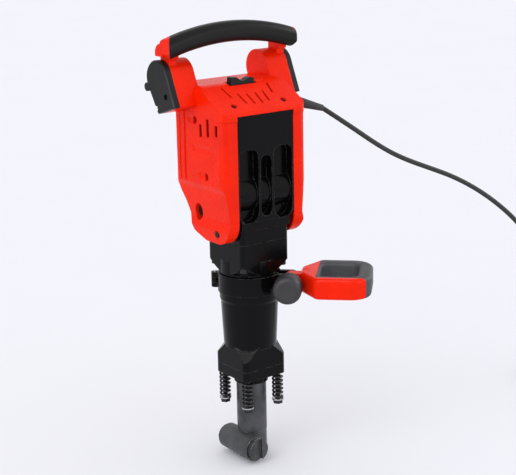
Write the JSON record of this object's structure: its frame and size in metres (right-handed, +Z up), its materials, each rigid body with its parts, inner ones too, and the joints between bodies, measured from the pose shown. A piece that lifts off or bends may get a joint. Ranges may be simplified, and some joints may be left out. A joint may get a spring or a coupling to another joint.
{
  "type": "electric jackhammer",
  "caption": "Upright electric breaker hammer with a hexagonal chisel socket, sprung front plate, side loop handle, arched top handle and mains cord.",
  "frame": {"origin": "on the tool axis at the mouth of the chisel socket", "axes": "+Z up along the tool axis towards the top handle, -Y towards the bare casting at the front, X along the top handle"},
  "size_m": [0.873, 0.2985, 0.69],
  "materials": {
    "red_plastic": "glossy moulded",
    "black_plastic": "fine moulded grain",
    "black_casting": "gloss black paint on castings",
    "grip_rubber": "matt soft rubber",
    "black_rubber": "matt",
    "phosphated_steel": "grey phosphate coat",
    "ground_steel": "ground",
    "machined_steel": "machined",
    "black_steel": "black oxide",
    "bolt_steel": "zinc plated",
    "cast_aluminium": "machined casting",
    "core_steel": "laminated",
    "copper": "copper segments",
    "carbon": "pressed carbon",
    "plated_brass": "nickel plated"
  },
  "bodies": {
    "case": {"cylinder_case": "black_casting", "crankcase": "black_casting", "flange_bolts": "black_steel", "damper_bolts": "black_steel", "damper_washers": "black_steel", "damper_springs": "black_steel", "cylinder_liner": "ground_steel", "ball_bearings": "ground_steel", "motor_frame": "black_plastic", "stator": "core_steel", "brush_holders": "black_plastic", "carbon_brushes": "carbon", "brush_caps": "black_plastic", "right_cover": "red_plastic", "left_cover": "red_plastic", "top_cap": "red_plastic", "housing_screws": "black_steel", "right_arm": "red_plastic", "left_arm": "red_plastic", "right_arm_cap": "black_plastic", "left_arm_cap": "black_plastic", "arm_springs": "black_steel", "switch_body": "black_plastic", "cord_guard": "black_rubber", "cord_tube": "black_rubber", "cord_coil": "black_rubber", "plug_body": "black_plastic", "plug_pins": "plated_brass"},
    "nose": {"tool_holder": "phosphated_steel", "shank_bush": "ground_steel", "buffer_ring": "black_rubber", "front_cover": "black_casting", "retainer_cap": "black_rubber"},
    "retainer": {"retainer_pin": "phosphated_steel"},
    "impact": {"impact_bolt": "ground_steel"},
    "ram": {"striker": "ground_steel", "striker_ring": "black_rubber"},
    "drive_piston": {"piston": "cast_aluminium", "piston_rings": "black_rubber", "wrist_pin": "ground_steel"},
    "rod": {"connecting_rod": "machined_steel", "crank_pin": "ground_steel"},
    "crank": {"crank_gear": "machined_steel"},
    "armature": {"motor_shaft": "ground_steel", "armature_core": "core_steel", "commutator": "copper", "fan": "black_plastic", "motor_pinion": "machined_steel"},
    "handle": {"handle_frame": "red_plastic", "handle_grip": "grip_rubber"},
    "rocker": {"switch_rocker": "black_plastic"},
    "collar": {"clamp_front": "black_casting", "clamp_rear": "black_casting", "hinge_pin": "ground_steel", "clamp_bolt": "bolt_steel", "clamp_washers": "black_steel", "clamp_ring": "red_plastic"},
    "side": {"side_handle": "red_plastic", "side_grip": "grip_rubber"},
    "knob": {"clamp_knob": "grip_rubber"}
  },
  "joints": [
    {"name": "front_plate_slide", "type": "slide", "parent": "case", "child": "nose", "axis": [0, 0, -1], "range_m": [0, 0.006], "stiffness_N_per_m": 20000, "springref_m": -0.006, "deforming": ["damper_springs"]},
    {"name": "retainer_turn", "type": "hinge", "parent": "nose", "child": "retainer", "pos_m": [-0.02, 0, 0.024], "axis": [0, 1, 0], "range_deg": [0, 180]},
    {"name": "impact_bolt_slide", "type": "slide", "parent": "nose", "child": "impact", "axis": [0, 0, -1], "range_m": [0, 0.01]},
    {"name": "striker_slide", "type": "slide", "parent": "case", "child": "ram", "axis": [0, 0, 1], "range_m": [-0.0075, 0.008]},
    {"name": "piston_slide", "type": "slide", "parent": "case", "child": "drive_piston", "axis": [0, 0, 1], "range_m": [0, 0.032]},
    {"name": "rod_swing", "type": "hinge", "parent": "drive_piston", "child": "rod", "pos_m": [0, 0, 0.281], "axis": [0, 1, 0], "range_deg": [-18.2, 18.2]},
    {"name": "armature_spin", "type": "hinge", "parent": "case", "child": "armature", "pos_m": [0, 0.032, 0.48], "axis": [0, 0, 1], "continuous": true},
    {"name": "crank_spin", "type": "hinge", "parent": "case", "child": "crank", "pos_m": [0, 0.02, 0.348], "axis": [0, 1, 0], "continuous": true},
    {"name": "handle_spring_slide", "type": "slide", "parent": "case", "child": "handle", "axis": [0, 0, -1], "range_m": [0, 0.005], "stiffness_N_per_m": 9000, "springref_m": -0.004, "deforming": ["arm_springs"]},
    {"name": "switch_rock", "type": "hinge", "parent": "case", "child": "rocker", "pos_m": [0, 0.012, 0.592], "axis": [0, 1, 0], "range_deg": [-11, 0]},
    {"name": "collar_swivel", "type": "hinge", "parent": "case", "child": "collar", "pos_m": [0, 0, 0.292], "axis": [0, 0, 1], "continuous": true},
    {"name": "side_handle_tilt", "type": "hinge", "parent": "collar", "child": "side", "pos_m": [0.04667, -0.04667, 0.292], "axis": [-0.7071, -0.7071, 0], "range_deg": [-35, 35]},
    {"name": "knob_turn", "type": "hinge", "parent": "collar", "child": "knob", "pos_m": [0.04667, -0.04667, 0.292], "axis": [-0.7071, -0.7071, 0], "range_deg": [0, 540]}
  ],
  "couplings": [
    {"joint": "crank_spin", "follows": "armature_spin", "ratio": 0.25}
  ]
}
